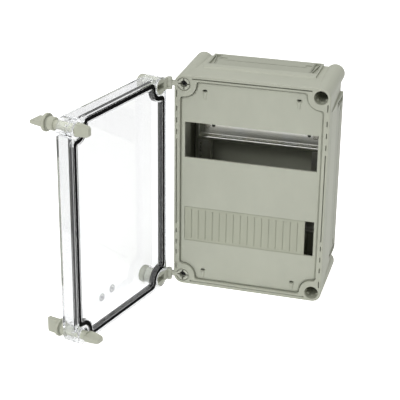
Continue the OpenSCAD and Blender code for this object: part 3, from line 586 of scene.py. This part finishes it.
def flange_clips(side, turn):
    """The two snap clips of a flange: a tray with a diagonal stiffening rib."""
    node = "flange_clips_" + side
    low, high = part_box(node)
    size = high - low
    across, height = (size.x, size.z) if side in ("top", "bottom") else (size.z, size.x)
    sizes = {
        "Length": 0.0087, "Width": size.y, "Height": height, "Span": across, "Wall": 0.0011, "Floor": 0.0008,
    }
    rib_lean = -0.8  # share of the diagonal's angle, to the other side
    tree, entry = new_tree("flange_clips", sizes)
    walls = times(tree, entry["Wall"], 2.0)
    inner_length = minus(tree, entry["Length"], walls)
    inner_width = minus(tree, entry["Width"], walls)
    body = block(tree, entry["Length"], entry["Width"], entry["Height"])
    hollow = block(tree, inner_length, inner_width, entry["Height"])
    hollow = moved(tree, hollow, Translation=vector(tree, z=entry["Floor"]))
    slant = times(tree, calc(tree, "ARCTAN2", inner_length, inner_width), rib_lean)
    rib_height = minus(tree, entry["Height"], times(tree, entry["Floor"], 0.5))
    rib = block(tree, entry["Wall"], inner_width, rib_height)
    rib = moved(tree, rib, Rotation=vector(tree, z=slant))
    reach = vector(tree, x=half_gap(tree, entry["Span"], entry["Length"]))
    right = moved(tree, joined(tree, [cut_out(tree, body, [hollow]), rib]), Translation=reach)
    left = moved(tree, right, Scale=(-1, 1, 1))
    left = put(tree, "GeometryNodeFlipFaces", Mesh=left).outputs[0]
    close_tree(tree, entry, joined(tree, [right, left]))

    place = Matrix.Translation((low + high) / 2) @ Matrix.Rotation(math.radians(turn), 4, "Y")
    piece = grow("snap_clips_" + side, tree, sizes, FINISH["flange"], place)
    tidy_normals(piece.data)
    fit_piece(piece, "base", "flange", node)


gasket_bead()
mould_marks()
latch_hoods()
blanking_strip()
top_hat_rail("top_hat_rail_upper", "din_rail_upper", FINISH["rail"])
# the lower rail takes the darker zinc: painted shade
top_hat_rail("top_hat_rail_lower", "din_rail_lower", PAINTED_SHADE_ZINC)
for side, turn in (("top", 0), ("right", 90), ("bottom", 180), ("left", 270)):
    flange_clips(side, turn)


# ------------------------------------------------------------- floor and light

def plain_floor():
    """White floor that melts into the world. It glows more when seen, and behind the clear sheet."""
    half_size = 6
    glow, glow_behind_sheet, glow_when_seen = 0.3, 0.53, 0.55
    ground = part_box("base_box")[0].z
    mesh = bpy.data.meshes.new("floor")
    corners = [(half_size * x, half_size * y, ground) for x, y in ((-1, -1), (1, -1), (1, 1), (-1, 1))]
    mesh.from_pydata(corners, [], [(0, 1, 2, 3)])
    floor = bpy.data.objects.new("floor", mesh)
    bpy.context.scene.collection.objects.link(floor)
    material, tree, output = new_material("floor_white")
    ray = put(tree, "ShaderNodeLightPath").outputs
    level = spread(tree, ray["Is Transmission Ray"], glow, glow_behind_sheet)
    level = raised(tree, level, ray["Is Camera Ray"], glow_when_seen)
    surface(tree, output, Base_Color=(0.9, 0.9, 0.9, 1), Roughness=0.9, Emission_Color=(1, 1, 1, 1),
            Emission_Strength=level)
    mesh.materials.append(material)


def white_world():
    """White all round: dim as a lamp, brighter when reflected, brightest when seen."""
    as_lamp, reflected, when_seen = 0.32, 0.62, 0.78
    world = bpy.data.worlds.new("studio")
    bpy.context.scene.world = world
    world.use_nodes = True
    tree = world.node_tree
    back = tree.nodes["Background"]
    back.inputs["Color"].default_value = (1, 1, 1, 1)
    ray = put(tree, "ShaderNodeLightPath").outputs
    seen = calc(tree, "MAXIMUM", ray["Is Camera Ray"], ray["Is Transmission Ray"])
    level = spread(tree, ray["Is Glossy Ray"], as_lamp, reflected)
    tree.links.new(raised(tree, level, seen, when_seen), back.inputs["Strength"])


def soft_box(name, place, width, height, power):
    """A large area lamp, aimed at the middle of the box."""
    aim = Vector((0, -0.05, 0))
    lamp = bpy.data.lights.new(name, "AREA")
    lamp.shape = "RECTANGLE"
    lamp.size, lamp.size_y = width, height
    lamp.energy = power
    lamp_object = bpy.data.objects.new(name, lamp)
    bpy.context.scene.collection.objects.link(lamp_object)
    lamp_object.location = place
    lamp_object.rotation_euler = (aim - Vector(place)).to_track_quat("-Z", "Y").to_euler()


def camera():
    """A long lens, to the right of the box and above it."""
    place = (0.3215, -1.4919, 0.6356)
    azimuth, elevation, roll = 15.738, 23.547, 0.528
    lens = bpy.data.cameras.new("view")
    lens.sensor_width = 36
    lens.lens = 115.46
    lens.shift_x = 0.019
    lens.shift_y = -0.0493
    lens.clip_end = 30
    eye = bpy.data.objects.new("view", lens)
    bpy.context.scene.collection.objects.link(eye)
    eye.location = place
    turn = (
        Matrix.Rotation(math.radians(azimuth), 4, "Z")
        @ Matrix.Rotation(math.radians(90 - elevation), 4, "X")
        @ Matrix.Rotation(math.radians(roll), 4, "Z")
    )
    eye.rotation_euler = turn.to_euler()
    bpy.context.scene.camera = eye


plain_floor()
white_world()
soft_box("key", (-0.6, -2.2, 2.2), width=2.2, height=1.8, power=39)
soft_box("top", (0.2, 0.2, 2.4), width=2.6, height=2.2, power=27)
soft_box("fill", (2.2, -1.2, 1.0), width=1.6, height=1.8, power=0.8)
camera()
bpy.context.scene.view_settings.view_transform = "Standard"
